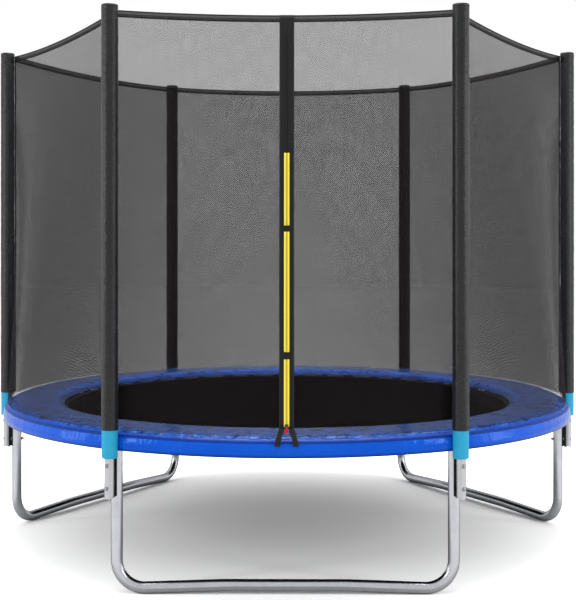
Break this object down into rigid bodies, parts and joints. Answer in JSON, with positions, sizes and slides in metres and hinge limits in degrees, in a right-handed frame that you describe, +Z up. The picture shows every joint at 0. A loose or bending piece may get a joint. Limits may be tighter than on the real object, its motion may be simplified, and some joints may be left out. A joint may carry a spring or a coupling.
{
  "type": "trampoline",
  "caption": "Round garden trampoline with bent-tube legs, a padded rim, foam-covered poles and a safety net with a zipped door.",
  "frame": {"origin": "on the ground, under the centre of the ring", "axes": "+Z up; -Y towards the zipped door; +X through two opposite poles, to the right of someone facing the door"},
  "size_m": [2.542, 2.4497, 2.0919],
  "materials": {
    "galvanised_steel": "bright galvanised tube",
    "pole_steel": "satin galvanised tube",
    "black_plastic": "moulded, fine grain",
    "zinc_plate": "bright zinc plating",
    "blue_foam": "closed-cell foam with a smooth skin",
    "sleeve_fabric": "coated polyester with a slight sheen",
    "spring_wire": "galvanised wire",
    "mat_weave": "woven polypropylene, matt",
    "black_webbing": "woven tape",
    "blue_vinyl": "coated PVC, semi-gloss, lightly wrinkled",
    "white_foam": "open foam",
    "net_mesh": "fine knitted mesh",
    "yellow_reflector": "reflective tape",
    "zip_teeth": "moulded teeth",
    "zip_metal": "die-cast",
    "red_rubber": "moulded soft plastic"
  },
  "bodies": {
    "frame": {"top_rail_1": "galvanised_steel", "top_rail_2": "galvanised_steel", "top_rail_3": "galvanised_steel", "top_rail_4": "galvanised_steel", "top_rail_5": "galvanised_steel", "top_rail_6": "galvanised_steel", "leg_front": "galvanised_steel", "leg_right": "galvanised_steel", "leg_left": "galvanised_steel", "pole_lower_1": "pole_steel", "pole_lower_2": "pole_steel", "pole_lower_3": "pole_steel", "pole_lower_4": "pole_steel", "pole_lower_5": "pole_steel", "pole_lower_6": "pole_steel", "pole_upper_1": "pole_steel", "pole_upper_2": "pole_steel", "pole_upper_3": "pole_steel", "pole_upper_4": "pole_steel", "pole_upper_5": "pole_steel", "pole_upper_6": "pole_steel", "pole_caps": "black_plastic", "pole_saddles": "black_plastic", "pole_bolts": "zinc_plate", "pole_nuts": "zinc_plate", "foam_tube_1": "blue_foam", "foam_tube_2": "blue_foam", "foam_tube_3": "blue_foam", "foam_tube_4": "blue_foam", "foam_tube_5": "blue_foam", "foam_tube_6": "blue_foam", "sleeve_1": "sleeve_fabric", "sleeve_2": "sleeve_fabric", "sleeve_3": "sleeve_fabric", "sleeve_4": "sleeve_fabric", "sleeve_5": "sleeve_fabric", "sleeve_6": "sleeve_fabric", "springs": "spring_wire", "net_top_band": "black_webbing", "net_bottom_band": "black_webbing", "net_piping": "black_webbing", "door_placket": "black_webbing", "door_straps": "black_webbing", "pad_ties": "black_webbing", "pad_cover": "blue_vinyl", "pad_foam": "white_foam", "net_panel_1": "net_mesh", "net_panel_2": "net_mesh", "net_panel_3": "net_mesh", "net_panel_4": "net_mesh", "net_panel_5": "net_mesh", "net_panel_6": "net_mesh", "door_reflectors": "yellow_reflector", "zip_chain": "zip_teeth"},
    "mat": {"mat": "mat_weave", "mat_band": "black_webbing", "mat_loops": "black_webbing", "mat_rings": "spring_wire"},
    "zip_slider": {"zip_slider": "zip_metal"},
    "zip_pull": {"zip_pull": "red_rubber"}
  },
  "joints": [
    {"name": "mat_bounce", "type": "slide", "parent": "frame", "child": "mat", "axis": [0, 0, -1], "range_m": [0, 0.2], "stiffness_N_per_m": 6000, "springref_m": -0.003, "deforming": ["springs"]},
    {"name": "zip_slide", "type": "slide", "parent": "frame", "child": "zip_slider", "axis": [0, 0.1087, 0.9941], "range_m": [0, 1.37]},
    {"name": "pull_swing", "type": "hinge", "parent": "zip_slider", "child": "zip_pull", "pos_m": [0.006, -1.21443, 0.61727], "axis": [-1, 0, 0], "range_deg": [0, 150]}
  ]
}
